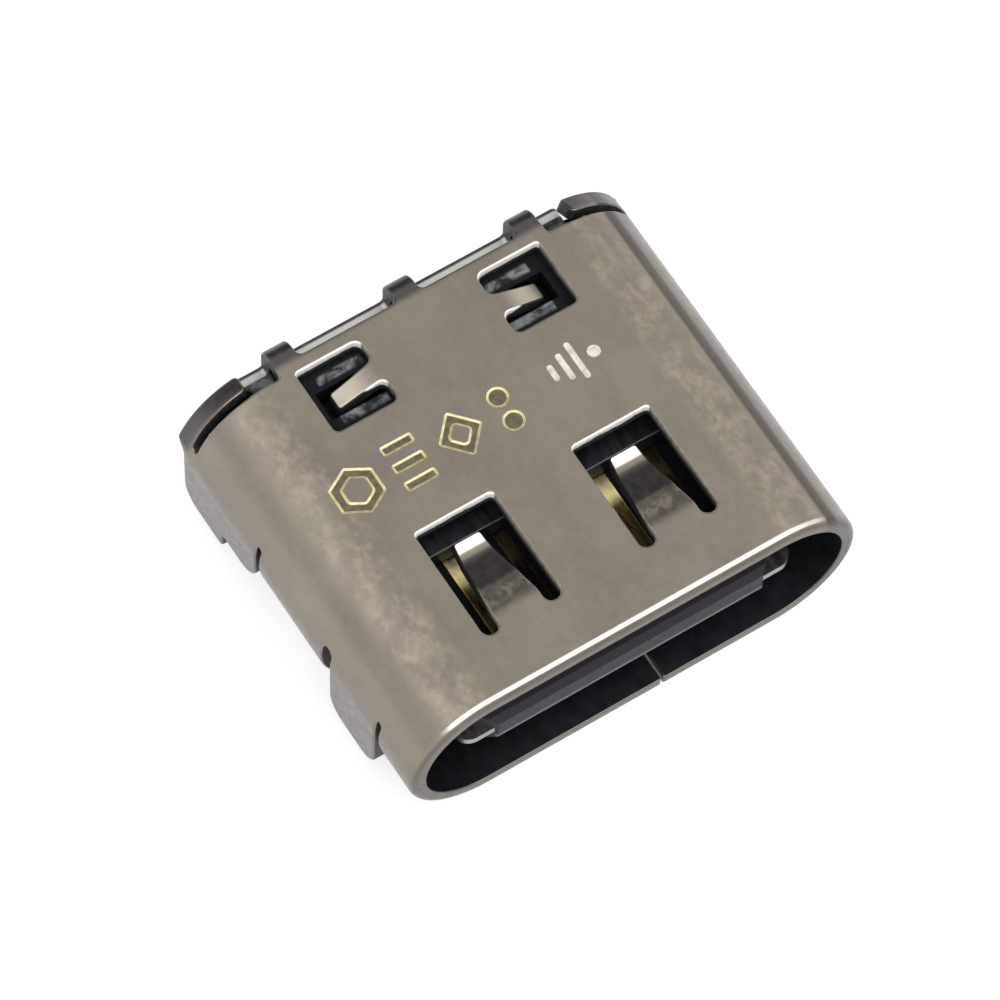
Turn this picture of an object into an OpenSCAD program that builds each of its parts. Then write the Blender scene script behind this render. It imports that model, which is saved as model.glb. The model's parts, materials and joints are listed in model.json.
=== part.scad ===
// USB-C board socket, sunk into a cut-out of its board.
// A folded steel shell closes round a black housing whose tongue carries the contacts.
// +Z is up, the mouth faces -Y, and the origin is the middle of the underside.

/* [Shell] */
// Outer width of the oval shell
shell_w = 8.94; // [8.86:0.02:9.3]
// Outer height of the oval shell
shell_h = 3.16; // [3.1:0.02:3.4]
// Thickness of the folded sheet
sheet_t = 0.3; // [0.2:0.01:0.32]
// Length of the top plate, from the mouth to its rear edge
top_l = 7.3; // [7.2:0.01:7.4]
// Length of the round shoulders, from the mouth to the rear slot
shoulder_l = 7.08; // [6.9:0.01:7.14]
// Length of the bottom plate, from the mouth
bottom_l = 5.05; // [4.9:0.01:5.2]
// How far the seam in the bottom plate lies from the middle
seam_x = 0.58; // [0.2:0.01:0.62]
// Gap left at the seam
seam_gap = 0.04; // [0.02:0.01:0.08]
// Length of the dovetail that locks the seam
seam_lock_l = 0.9; // [0.6:0.1:1.2]

/* [Front springs] */
// Distance of each front spring from the middle
spring_x = 1.56; // [1.5:0.01:1.7]
// Width of the window that holds a front spring
spring_window_w = 1.55; // [1.4:0.01:1.6]
// Distance of the window's front end from the mouth
spring_window_y = 1.1; // [0.9:0.01:1.3]
// Length of the window
spring_window_l = 2.26; // [2.1:0.01:2.5]
// Width of the slot on each side of a spring
spring_slot_w = 0.32; // [0.25:0.01:0.36]
// Width of a spring at its tip
spring_tip_w = 0.54; // [0.4:0.01:0.7]
// Length of a spring, from the slots' front end to its tip
spring_l = 1.72; // [1.5:0.01:1.9]
// How far a spring dips below the plate
spring_dip = 0.24; // [0.1:0.01:0.3]
// How far the tip curls back up
spring_curl = 0.1; // [0:0.01:0.12]

/* [Rear latch tabs] */
// Distance of each rear window's middle from the middle of the shell
latch_x = 1.81; // [1.7:0.01:1.9]
// Width of a rear window
latch_window_w = 1.26; // [1.1:0.01:1.4]
// Distance of a rear window's front edge from the mouth
latch_window_y = 5.69; // [5.5:0.01:5.8]
// Length of a rear window
latch_window_l = 1.33; // [1.1:0.01:1.35]
// Corner radius of a rear window
latch_window_r = 0.12; // [0.05:0.01:0.2]
// Width of the tab that bends down in a rear window
latch_tab_w = 0.42; // [0.3:0.01:0.5]
// Reach of the tab, from its root to its tip
latch_tab_l = 0.9; // [0.7:0.01:1]
// How far the tab's tip is bent down
latch_tab_dip = 0.34; // [0.2:0.01:0.5]

/* [Rear cover] */
// Gap between the top plate's rear edge and the cover
cover_gap = 0.18; // [0.1:0.01:0.2]
// Half of the cover's width
cover_half_w = 3.3; // [3:0.01:3.34]
// Height of the cover's top edge
cover_top_z = 2.46; // [2.4:0.01:2.6]
// Height of the cover's lower edge
cover_low_z = 1.32; // [1.26:0.01:1.6]
// Corner radius of the cover
cover_r = 0.12; // [0.05:0.01:0.3]
// Width of each neck that joins the cover to the top plate
neck_w = 0.475; // [0.35:0.005:0.6]
// Distance of the outer necks from the middle
neck_x = 2.44; // [2.3:0.01:2.5]
// Inner radius of the bend
bend_r = 0.03; // [0.02:0.01:0.1]

/* [Corner straps] */
// Gap between a round shoulder and its strap
strap_gap = 0.15; // [0.1:0.01:0.2]
// Width of a strap, along the shell
strap_w = 0.4; // [0.3:0.01:0.42]
// How far the strap's rear edge is pressed in
strap_crimp = 0.18; // [0:0.01:0.2]
// Angle of the slot's lower end above the side's middle
strap_root_deg = 17; // [14:1:24]
// Angle of the strap's free end above the side's middle
strap_tip_deg = 75; // [65:1:77]

/* [Side legs] */
// Distance of the front leg from the mouth
leg_y = 1.2; // [1.1:0.01:1.3]
// Length of the front leg along the shell
leg_l = 1.44; // [1.2:0.01:1.6]
// Height of the leg tips above the underside
leg_tip_z = 0.2; // [0.15:0.01:0.4]
// Corner radius of the front leg
leg_r = 0.42; // [0.2:0.01:0.6]
// How far the openings beside a front leg reach in from the side
opening_reach = 0.83; // [0.7:0.01:0.9]
// Width of the relief slot in front of a leg
relief_w = 0.12; // [0.08:0.01:0.16]
// How far the relief slots rise above the side's middle
relief_rise = 0.42; // [0.2:0.01:0.45]
// Width of the notch behind the front leg
notch_w = 0.26; // [0.15:0.01:0.4]
// Distance of the side skirt's front edge from the mouth
skirt_y = 5.05; // [4.9:0.01:5.15]
// Height of the skirt's lower edge
skirt_z = 0.65; // [0.5:0.01:0.8]
// Corner radius of the skirt
skirt_r = 0.5; // [0.3:0.01:0.6]
// Distance of the rear leg from the mouth
rear_leg_y = 6.15; // [6.05:0.01:6.3]
// Distance of the rear leg's back edge from the mouth
rear_leg_end = 7.4; // [7.34:0.01:7.5]

/* [Board] */
// How far the board's upper face lies below the middle of the shell's side
board_drop = 0.53; // [0.5:0.01:0.68]
// Height of the solder pins' tips
pin_tip_z = 0.25; // [0.2:0.01:0.4]

/* [Housing] */
// Gap between the housing and the shell
housing_gap = 0.02; // [0.01:0.01:0.05]
// Gap between the housing's back and the rear cover
housing_back_gap = 0.09; // [0.05:0.01:0.12]
// Distance of the cavity's back wall from the mouth
back_wall_y = 4.95; // [4.7:0.01:5]
// Width of the tongue
tongue_w = 6.69; // [6.6:0.01:6.72]
// Thickness of the tongue
tongue_t = 0.7; // [0.66:0.01:0.74]
// Distance of the tongue's front edge from the mouth
tongue_y = 0.15; // [0.1:0.01:0.3]
// Width of the tongue's plastic in front of the latch notches
tongue_nose_w = 5.9; // [5.86:0.01:6]
// Distance of the latch notches' back end from the mouth
latch_notch_end = 2.15; // [2:0.01:2.3]
// Height of the thick root behind the tongue
root_h = 1.7; // [1.6:0.01:1.8]
// Distance of the thick root from the mouth
root_y = 3.16; // [3.05:0.01:3.3]
// Gap under the housing's rear part, above the board
standoff = 0.05; // [0.03:0.01:0.06]
// Diameter of the locating pegs
peg_d = 0.6; // [0.5:0.01:0.64]
// Distance of the pegs from the middle
peg_x = 3.33; // [3.3:0.01:3.34]
// Distance of the pegs from the mouth
peg_y = 6.87; // [6.82:0.01:6.9]
// Height of the pegs' tips
peg_tip_z = 0.3; // [0.25:0.01:0.5]

/* [Contacts] */
// Number of contacts in each row
contact_count = 12; // [12:1:12]
// Distance between contacts
contact_pitch = 0.5; // [0.49:0.01:0.5]
// Width of a contact
contact_w = 0.25; // [0.2:0.01:0.26]
// Thickness of a contact
contact_t = 0.15; // [0.1:0.01:0.16]
// Distance of the long contacts' front ends from the mouth
long_contact_y = 0.75; // [0.6:0.01:0.9]
// Distance of the short contacts' front ends from the mouth
short_contact_y = 1.15; // [1:0.01:1.4]
// Distance of the upper row's drop from the mouth
drop_y = 6.9; // [6.86:0.01:7]
// How far the upper row's solder feet reach behind the cover
foot_reach = 0.28; // [0.2:0.01:0.6]
// Distance of the front row of solder pins from the mouth
pin_y = 5.65; // [5.5:0.01:5.7]
// Distance between the two rows of solder pins
pin_row_gap = 0.6; // [0.5:0.01:0.65]

/* [Carriers and plates] */
// Width of the two contact carriers
carrier_w = 6.1; // [6.04:0.01:6.2]
// Distance of the carriers from the mouth
carrier_y = 3.45; // [3.35:0.01:3.6]
// Length of the upper carrier
upper_carrier_l = 3.3; // [3.2:0.01:3.36]
// Length of the lower carrier
lower_carrier_l = 3.1; // [3.05:0.01:3.3]
// Height of the upper carrier above the mid plate
upper_carrier_h = 0.5; // [0.4:0.01:0.55]
// Thickness of the mid plate
mid_plate_t = 0.15; // [0.1:0.01:0.16]
// Distance of the mid plate's front edge from the mouth
mid_plate_y = 0.2; // [0.18:0.01:0.3]
// Length of the latch ears at the mid plate's front corners
ear_l = 0.85; // [0.6:0.01:1]
// Corner radius of the latch ears
ear_r = 0.3; // [0.1:0.01:0.38]
// Distance of the mid plate's back edge from the mouth
mid_plate_end = 6.0; // [5.9:0.01:6.02]
// Half of the mid plate's width at its solder legs
mid_leg_x = 3.6; // [3.5:0.01:3.66]
// Length of a solder leg of the mid plate, along the shell
mid_leg_l = 0.4; // [0.3:0.01:0.5]
// Thickness of the two ground plates on the tongue's root
ground_plate_t = 0.1; // [0.06:0.01:0.12]
// Width of the ground plates
ground_plate_w = 6.0; // [5.6:0.01:6.2]
// How far the ground plates reach into the housing
ground_plate_grip = 0.35; // [0.2:0.01:0.4]
// Gap between a ground plate's lip and the contacts
ground_lip_gap = 0.08; // [0.05:0.01:0.12]

/* [Hidden] */
$fn = 64;
CONTACT_NAMES = [for (row = ["a", "b"], k = [1:12]) str("contact_", row, k)];

steel = [0.60, 0.57, 0.52];
bright_steel = [0.75, 0.74, 0.72];
black = [0.09, 0.09, 0.10];
dark_grey = [0.15, 0.15, 0.16];
gold = [0.86, 0.68, 0.30];

past = 1;                                 // how far a cut runs past what it cuts
mid_z = shell_h / 2;
board_z = mid_z - board_drop;             // upper face of the board
cavity_w = shell_w - 2 * sheet_t;
cavity_h = shell_h - 2 * sheet_t;
corner_x = (shell_w - shell_h) / 2;       // where the flat plates turn into the round sides
inner_top_z = shell_h - sheet_t;
side_in_x = shell_w / 2 - sheet_t;        // inner face of the flat side legs
slot_top_z = mid_z + shell_h / 2 * sin(strap_root_deg);
relief_top_z = mid_z + relief_rise;
opening_x = shell_w / 2 - opening_reach;  // where the openings beside the front legs end
shoulder_x = neck_x + neck_w / 2 + 0.03;  // where the top plate's rear edge steps forward
cover_y = top_l + cover_gap;
cover_end = cover_y + sheet_t;
overall_l = cover_end + foot_reach;
strap_y = shoulder_l + strap_gap;
sink_y = bottom_l + 0.1;                  // the housing steps up over the board from here
body_low_z = board_z + standoff;
bend_y = cover_end - sheet_t - bend_r;     // where the necks start to bend down
body_end = cover_y - housing_back_gap;
tongue_top = mid_z + tongue_t / 2;
tongue_low = mid_z - tongue_t / 2;
root_top = mid_z + root_h / 2;
root_low = mid_z - root_h / 2;
plate_top = mid_z + mid_plate_t / 2;
plate_low = mid_z - mid_plate_t / 2;

function is_long(k) = k == 1 || k == 4 || k == 9 || k == 12;
function contact_front(k) = is_long(k) ? long_contact_y : short_contact_y;
function upper_x(k) = (k - (contact_count + 1) / 2) * contact_pitch;
function lower_x(k) = -upper_x(k);
// The solder pins stagger alike from both ends of the row.
function is_rear_pin(k) = min(k, contact_count + 1 - k) % 2 == 0;
function pin_place(k) = pin_y + (is_rear_pin(k) ? pin_row_gap : 0);

// Everything is drawn with the mouth at y = 0, then centred along Y.
module placed() {
    translate([0, -overall_l / 2, 0]) children();
}

module both_sides() {
    children();
    mirror([1, 0, 0]) children();
}

// Extrudes an x-z outline from y0 to y1.
module along_y(y0, y1) {
    translate([0, y1, 0]) rotate([90, 0, 0]) linear_extrude(y1 - y0) children();
}

// Extrudes a y-z outline from x0 to x1.
module along_x(x0, x1) {
    translate([x0, 0, 0]) rotate([90, 0, 90]) linear_extrude(x1 - x0) children();
}

module block(x0, x1, y0, y1, z0, z1) {
    translate([x0, y0, z0]) cube([x1 - x0, y1 - y0, z1 - z0]);
}

module oval(w, h) {
    square([w - h, h], center = true);
    for (side = [-1, 1]) translate([side * (w - h) / 2, 0]) circle(d = h);
}

module rounded_rect(x0, x1, y0, y1, r) {
    translate([x0 + r, y0]) square([x1 - x0 - 2 * r, y1 - y0]);
    translate([x0, y0 + r]) square([x1 - x0, y1 - y0 - 2 * r]);
    for (x = [x0 + r, x1 - r], y = [y0 + r, y1 - r]) translate([x, y]) circle(r);
}

// A leg's outline in y-z: square at the top, round corners of radius r0 and r1 below.
module leg_outline(y0, y1, z0, z1, r0, r1) {
    translate([y0, z0 + max(r0, r1)]) square([y1 - y0, z1 - z0 - max(r0, r1)]);
    translate([y0 + r0, z0]) square([y1 - y0 - r0 - r1, z1 - z0]);
    translate([y0, z0 + r0]) square([r0 + 0.01, z1 - z0 - r0]);
    translate([y1 - r1 - 0.01, z0 + r1]) square([r1 + 0.01, z1 - z0 - r1]);
    translate([y0 + r0, z0 + r0]) circle(r0);
    translate([y1 - r1, z0 + r1]) circle(r1);
}

// ---- shell ----

module shell_tube() {
    translate([0, 0, mid_z]) along_y(0, rear_leg_end) difference() {
        oval(shell_w, shell_h);
        oval(cavity_w, cavity_h);
    }
}

// Plan outline of one front window, with a round front end on each slot.
module spring_window() {
    half = spring_window_w / 2;
    end_y = spring_window_y + spring_window_l;
    slot_y = spring_window_y + spring_slot_w / 2;
    for (side = [-1, 1]) translate([side * (half - spring_slot_w / 2), 0]) {
        translate([0, slot_y]) circle(d = spring_slot_w);
        translate([-spring_slot_w / 2, slot_y]) square([spring_slot_w, end_y - slot_y]);
    }
    translate([-half, spring_window_y + spring_slot_w])
        square([spring_window_w, end_y - spring_window_y - spring_slot_w]);
}

// The spring's dip below the plate at a share s of its length.
function spring_drop(s) =
    s < 0.78 ? spring_dip * (1 - cos(180 * s / 0.78)) / 2
             : spring_dip - spring_curl * pow((s - 0.78) / 0.22, 1.5);

module front_spring() {
    steps = 14;
    root_w = spring_window_w - 2 * spring_slot_w;
    y0 = spring_window_y;
    y1 = y0 + spring_l;
    shares = [for (i = [0:steps]) i / steps];
    upper = [for (s = shares) [y0 + s * spring_l, shell_h - spring_drop(s)]];
    lower = [for (i = [steps:-1:0]) [y0 + shares[i] * spring_l, inner_top_z - spring_drop(shares[i])]];
    root = [[y0 - 0.2, inner_top_z], [y0 - 0.2, shell_h]];
    intersection() {
        along_x(-root_w / 2, root_w / 2) polygon(concat(root, upper, lower));
        linear_extrude(shell_h + past) polygon([
            [-root_w / 2, y0 - past], [root_w / 2, y0 - past], [root_w / 2, y0 + spring_slot_w],
            [spring_tip_w / 2, y1], [-spring_tip_w / 2, y1], [-root_w / 2, y0 + spring_slot_w]]);
    }
}

module latch_window() {
    rounded_rect(-latch_window_w / 2, latch_window_w / 2, latch_window_y,
                 latch_window_y + latch_window_l, latch_window_r);
}

// A tab rooted at the window's inner edge that slopes down and outwards.
module latch_tab() {
    root_x = latch_x - latch_window_w / 2;
    tip_x = root_x + latch_tab_l;
    mid_y = latch_window_y + latch_window_l / 2;
    along_y(mid_y - latch_tab_w / 2, mid_y + latch_tab_w / 2) polygon([
        [root_x - 0.1, inner_top_z], [root_x, inner_top_z], [tip_x, inner_top_z - latch_tab_dip],
        [tip_x, shell_h - latch_tab_dip], [root_x, shell_h], [root_x - 0.1, shell_h]]);
}

module cover_neck(x) {
    outer_r = bend_r + sheet_t;
    along_x(x - neck_w / 2, x + neck_w / 2) {
        translate([top_l - 0.2, inner_top_z]) square([bend_y - top_l + 0.2, sheet_t]);
        translate([cover_y, cover_top_z - 0.1]) square([sheet_t, shell_h - outer_r - cover_top_z + 0.1]);
        translate([bend_y, shell_h - outer_r]) intersection() {
            difference() {
                circle(outer_r);
                circle(bend_r);
            }
            square(outer_r);
        }
    }
}

module rear_cover() {
    along_y(cover_y, cover_end)
        rounded_rect(-cover_half_w, cover_half_w, cover_low_z, cover_top_z, cover_r);
    for (x = [-neck_x, 0, neck_x]) cover_neck(x);
}

// A band round the rear corner, joined to the side wall and free near the top plate.
module corner_strap() {
    outer_r = shell_h / 2;
    root_deg = strap_root_deg - 7;
    translate([corner_x, 0, mid_z]) rotate([-90, 0, 0]) rotate([0, 0, -strap_tip_deg])
        rotate_extrude(angle = strap_tip_deg - root_deg) polygon([
            [outer_r - sheet_t, strap_y], [outer_r, strap_y],
            [outer_r - strap_crimp, strap_y + strap_w],
            [outer_r - strap_crimp - sheet_t, strap_y + strap_w]]);
}

module side_legs() {
    along_x(side_in_x, shell_w / 2) {
        leg_outline(leg_y, leg_y + leg_l, leg_tip_z, mid_z, leg_r, leg_r);
        leg_outline(skirt_y, rear_leg_y + skirt_r, skirt_z, mid_z, skirt_r, 0.01);
        leg_outline(rear_leg_y, rear_leg_end, leg_tip_z, mid_z, 0.1, leg_r);
    }
}

// The round side wall is open below its middle beside the front leg and along the skirt.
module side_openings() {
    opening_end = leg_y + leg_l + notch_w;
    far = shell_w / 2 + past;
    block(opening_x, far, leg_y - relief_w, opening_end, -past, mid_z);
    block(side_in_x - 0.5, far, leg_y - relief_w, leg_y, mid_z - past, relief_top_z);
    block(side_in_x - 0.5, far, leg_y + leg_l, opening_end, mid_z - past, relief_top_z);
    block(side_in_x - 0.5, far, skirt_y - relief_w, skirt_y, mid_z - past, relief_top_z);
    block(corner_x, far, skirt_y - relief_w, rear_leg_end + past, -past, mid_z);
}

// The top plate ends at the cover, and the round shoulders end earlier, at the slots.
module rear_edges() {
    far = shell_w / 2 + past;
    block(-shoulder_x, shoulder_x, top_l, rear_leg_end + past, mid_z, shell_h + past);
    both_sides()
        block(shoulder_x, far, shoulder_l, rear_leg_end + past, slot_top_z, shell_h + past);
}

// The seam runs the length of the bottom plate and is locked by one dovetail.
module seam() {
    lock_y = (spring_window_y + spring_window_l + bottom_l) / 2;
    half = seam_lock_l / 2;
    reach = 0.5;
    g = seam_gap;
    translate([seam_x, 0, -past]) linear_extrude(past + sheet_t + 0.2) {
        translate([0, -past]) square([g, lock_y - half * 0.6 + g + past]);
        polygon([[0, lock_y - half * 0.6], [g, lock_y - half * 0.6 + g],
                 [-reach + g, lock_y - half + g], [-reach + g, lock_y + half - g],
                 [g, lock_y + half * 0.6 - g], [0, lock_y + half * 0.6],
                 [-reach, lock_y + half], [-reach, lock_y - half]]);
        translate([0, lock_y + half * 0.6 - g]) square([g, bottom_l]);
    }
}

module shell() {
    color(steel) placed() difference() {
        union() {
            difference() {
                shell_tube();
                block(-shell_w, shell_w, bottom_l, rear_leg_end + past, -past, mid_z);
                both_sides() side_openings();
                rear_edges();
                both_sides() translate([spring_x, 0, -past])
                    linear_extrude(shell_h + 2 * past) spring_window();
                both_sides() translate([latch_x, 0, mid_z])
                    linear_extrude(shell_h) latch_window();
            }
            both_sides() {
                side_legs();
                corner_strap();
                latch_tab();
                translate([spring_x, 0, 0]) front_spring();
                translate([spring_x, 0, shell_h]) mirror([0, 0, 1]) front_spring();
            }
            rear_cover();
        }
        seam();
    }
}

// ---- housing ----

module tongue() {
    nose = tongue_nose_w / 2;
    corner = 0.3;
    chamfer = 0.12;
    intersection() {
        translate([0, 0, tongue_low]) linear_extrude(tongue_t) polygon([
            [-nose + corner, tongue_y], [nose - corner, tongue_y], [nose, tongue_y + corner],
            [nose, latch_notch_end], [tongue_w / 2, latch_notch_end],
            [tongue_w / 2, back_wall_y + past], [-tongue_w / 2, back_wall_y + past],
            [-tongue_w / 2, latch_notch_end], [-nose, latch_notch_end], [-nose, tongue_y + corner]]);
        along_x(-shell_w, shell_w) polygon([
            [tongue_y, tongue_low + chamfer], [tongue_y + chamfer, tongue_low],
            [back_wall_y + past, tongue_low], [back_wall_y + past, tongue_top],
            [tongue_y + chamfer, tongue_top], [tongue_y, tongue_top - chamfer]]);
    }
    block(-tongue_w / 2, tongue_w / 2, root_y + ground_plate_t, back_wall_y + past,
          root_low + ground_plate_t, root_top - ground_plate_t);
}

// Fills the shell, and narrows between the corner straps.
module housing_body() {
    step_y = strap_y - housing_gap;
    step_x = corner_x + (cavity_h / 2 - strap_crimp) * cos(strap_tip_deg) - housing_gap;
    slimmer = housing_gap + strap_crimp;
    difference() {
        translate([0, 0, mid_z]) along_y(back_wall_y, body_end)
            oval(cavity_w - 2 * housing_gap, cavity_h - 2 * housing_gap);
        both_sides() difference() {
            block(step_x, shell_w, step_y, body_end + past, -past, shell_h + past);
            translate([0, 0, mid_z]) along_y(step_y - past, body_end + 2 * past)
                oval(cavity_w - 2 * slimmer, cavity_h - 2 * slimmer);
        }
        block(-shell_w, shell_w, sink_y, body_end + past, -past, body_low_z);
    }
}

// Room for a latch tab, open to the top.
module latch_pocket() {
    clear = 0.08;
    root_x = latch_x - latch_window_w / 2;
    mid_y = latch_window_y + latch_window_l / 2;
    block(root_x - clear, root_x + latch_tab_l + 0.2, mid_y - latch_tab_w / 2 - clear,
          mid_y + latch_tab_w / 2 + clear, inner_top_z - latch_tab_dip - clear - 0.1, shell_h);
}

module peg() {
    lead = 0.1;
    translate([peg_x, peg_y, 0]) {
        translate([0, 0, peg_tip_z + lead]) cylinder(d = peg_d, h = body_low_z - peg_tip_z - lead + 0.1);
        translate([0, 0, peg_tip_z]) cylinder(d1 = peg_d - 2 * lead, d2 = peg_d, h = lead);
    }
}

module housing() {
    color(black) placed() difference() {
        union() {
            tongue();
            housing_body();
            both_sides() peg();
        }
        both_sides() latch_pocket();
        upper_carrier_form();
        lower_carrier_form();
        mid_plate_form();
        ground_plate_form();
        translate([0, 0, shell_h]) mirror([0, 0, 1]) ground_plate_form();
        for (k = [1:contact_count]) {
            upper_contact_form(k);
            lower_contact_form(k);
        }
    }
}

// ---- contact carriers ----

module upper_carrier_form() {
    block(-carrier_w / 2, carrier_w / 2, carrier_y, carrier_y + upper_carrier_l,
          plate_top, plate_top + upper_carrier_h);
}

module lower_carrier_form() {
    block(-carrier_w / 2, carrier_w / 2, carrier_y, carrier_y + lower_carrier_l, body_low_z, plate_low);
}

module upper_carrier() {
    color(dark_grey) placed() difference() {
        upper_carrier_form();
        for (k = [1:contact_count]) upper_contact_form(k);
    }
}

module lower_carrier() {
    color(dark_grey) placed() difference() {
        lower_carrier_form();
        for (k = [1:contact_count]) lower_contact_form(k);
    }
}

// ---- plates ----

module mid_plate_form() {
    ear_x = tongue_w / 2;
    waist_x = tongue_nose_w / 2 - 0.05;
    leg_y0 = mid_plate_end - mid_leg_l;
    translate([0, 0, plate_low]) linear_extrude(mid_plate_t) {
        rounded_rect(-ear_x, ear_x, mid_plate_y, mid_plate_y + ear_l, ear_r);
        translate([-waist_x, mid_plate_y + ear_l / 2])
            square([2 * waist_x, mid_plate_end - mid_plate_y - ear_l / 2]);
        translate([-ear_x, latch_notch_end]) square([2 * ear_x, leg_y0 - latch_notch_end]);
        translate([-mid_leg_x, leg_y0]) square([2 * mid_leg_x, mid_leg_l]);
    }
    both_sides() block(mid_leg_x - mid_plate_t, mid_leg_x, leg_y0, mid_plate_end,
                       pin_tip_z, plate_low + mid_plate_t / 2);
}

module mid_plate() {
    color(bright_steel) placed() mid_plate_form();
}

// A thin angle: it lies on the root and its lip covers the root's front.
module ground_plate_form() {
    half = ground_plate_w / 2;
    block(-half, half, root_y, back_wall_y + ground_plate_grip, root_top - ground_plate_t, root_top);
    block(-half, half, root_y, root_y + ground_plate_t, tongue_top + ground_lip_gap, root_top);
}

module upper_ground_plate() {
    color(bright_steel) placed() ground_plate_form();
}

module lower_ground_plate() {
    color(bright_steel) placed() translate([0, 0, shell_h]) mirror([0, 0, 1]) ground_plate_form();
}

// ---- contacts ----

// Flush with the tongue's top, then down behind the carrier to a flat solder foot.
module upper_contact_form(k) {
    t = contact_t;
    x = upper_x(k);
    along_x(x - contact_w / 2, x + contact_w / 2) polygon([
        [contact_front(k), tongue_top - t], [drop_y, tongue_top - t], [drop_y, board_z],
        [overall_l, board_z], [overall_l, board_z + t], [drop_y + t, board_z + t],
        [drop_y + t, tongue_top], [contact_front(k), tongue_top]]);
}

// Flush with the tongue's underside, then straight down as a pin through the board.
module lower_contact_form(k) {
    t = contact_t;
    x = lower_x(k);
    y1 = pin_place(k);
    along_x(x - contact_w / 2, x + contact_w / 2) polygon([
        [contact_front(k), tongue_low], [y1, tongue_low], [y1, pin_tip_z],
        [y1 + t, pin_tip_z], [y1 + t, tongue_low + t], [contact_front(k), tongue_low + t]]);
}

module upper_contact(k) {
    color(gold) placed() upper_contact_form(k);
}

module lower_contact(k) {
    color(gold) placed() lower_contact_form(k);
}

shell();
housing();
upper_carrier();
lower_carrier();
mid_plate();
upper_ground_plate();
lower_ground_plate();
for (k = [1:contact_count]) {
    upper_contact(k);
    lower_contact(k);
}
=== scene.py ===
"""Dresses the USB-C board socket: a folded steel shell round a black housing with gold contacts.

Lengths are in millimetres with the mouth at y = 0 until a mesh is made. Then they become metres,
with y counted from the middle of the part, as the frame has it.

The shell is drawn as a flat pattern and then folded. In the pattern, s runs round the shell from the
middle of its top plate, y runs back from the mouth, and n runs outwards from the middle of the sheet.
"""
import json
import math

import bmesh
import bpy
import numpy as np
from mathutils import Matrix, Vector
from mathutils.geometry import delaunay_2d_cdt

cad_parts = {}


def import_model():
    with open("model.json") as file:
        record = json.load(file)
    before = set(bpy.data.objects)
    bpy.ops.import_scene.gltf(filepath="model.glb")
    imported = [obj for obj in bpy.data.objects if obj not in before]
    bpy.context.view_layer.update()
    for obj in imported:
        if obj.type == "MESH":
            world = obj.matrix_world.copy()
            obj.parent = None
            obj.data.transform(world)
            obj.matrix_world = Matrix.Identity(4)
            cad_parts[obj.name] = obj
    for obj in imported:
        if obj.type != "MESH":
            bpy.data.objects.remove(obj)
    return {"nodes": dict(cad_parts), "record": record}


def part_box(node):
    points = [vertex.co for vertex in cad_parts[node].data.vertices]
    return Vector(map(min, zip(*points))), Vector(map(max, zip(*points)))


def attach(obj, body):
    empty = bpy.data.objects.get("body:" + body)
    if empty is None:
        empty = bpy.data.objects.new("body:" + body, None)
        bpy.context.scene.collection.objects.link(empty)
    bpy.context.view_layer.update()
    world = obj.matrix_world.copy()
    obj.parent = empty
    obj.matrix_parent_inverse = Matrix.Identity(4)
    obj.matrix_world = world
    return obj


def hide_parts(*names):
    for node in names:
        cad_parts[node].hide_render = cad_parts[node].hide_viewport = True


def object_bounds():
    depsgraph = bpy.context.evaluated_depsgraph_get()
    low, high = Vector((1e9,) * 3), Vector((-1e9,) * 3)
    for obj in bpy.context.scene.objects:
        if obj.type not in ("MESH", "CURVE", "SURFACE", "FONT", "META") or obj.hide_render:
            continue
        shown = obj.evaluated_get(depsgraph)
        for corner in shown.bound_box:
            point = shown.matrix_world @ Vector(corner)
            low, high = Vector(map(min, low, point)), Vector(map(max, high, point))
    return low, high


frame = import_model()
CAD_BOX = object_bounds()
MM = 0.001
MOUTH_Y = CAD_BOX[0].y / MM                     # the mouth, as the frame counts y


def node_mm(node):
    """A CAD node's lowest and highest corners in millimetres, with the mouth at y = 0."""
    shift = Vector((0, CAD_BOX[0].y, 0))
    return [(corner - shift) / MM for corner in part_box(node)]


# ---- driving dimensions ----
SHEET = 0.3                                     # thickness of the steel sheet
HALF_SHEET = SHEET / 2
SHELL_W = 8.94
SHELL_H = node_mm("shell")[1].z
MID_Z = SHELL_H / 2
FLAT_HALF = (SHELL_W - SHELL_H) / 2             # half width of the flat top plate
MEAN_R = MID_Z - HALF_SHEET                     # radius of the round sides, at the sheet's middle
EQUATOR = FLAT_HALF + MEAN_R * math.pi / 2      # s of the side's middle
BOTTOM = FLAT_HALF + MEAN_R * math.pi           # s where the bottom plate starts
ROUND = BOTTOM + FLAT_HALF                      # s of the bottom plate's middle
RIM_TOP = 0.045                                 # rounding of a cut edge on the outer face
RIM_LOW = 0.03                                  # rounding of a cut edge on the inner face
LIP = 0.14                                      # rounding of the mouth's outer edge
# LOCK, WINDOW, TIP, TAB and NECK are half sizes.
SEAM_X, SEAM_GAP, LOCK, LOCK_REACH = 0.58, 0.04, 0.45, 0.5
BOTTOM_END, TOP_END, SHOULDER_END = 5.05, 7.3, 7.08
SPRING_X, WINDOW, WINDOW_Y, WINDOW_END = 1.56, 0.775, 1.1, 3.36
SLOT, TIP, TIP_Y = 0.32, 0.27, 2.96             # the slots beside a spring, and the spring's tip
DIP, CURL = 0.32, 0.15                          # how far a spring goes down, and its tip back up
BEND_START, BEND_END, DIP_AT, CURL_START = 0.1, 0.22, 0.88, 0.78    # shares of a spring's length
SPRING_ZONE = 0.6                               # half width between a spring and its window's edges
LATCH_IN, LATCH_OUT, LATCH_Y, LATCH_END = 1.18, 2.44, 5.69, 7.02
TAB, TAB_REACH, TAB_DIP, TAB_BEND = 0.21, 0.9, 0.34, 0.14
NECK, NECK_X, SHOULDER_X = 0.2375, 2.44, 2.7075
FOLD_Y, FOLD_R = 7.45, 0.18                     # start and mean radius of the necks' bend
FOLD_LEN = FOLD_R * math.pi / 2
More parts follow.
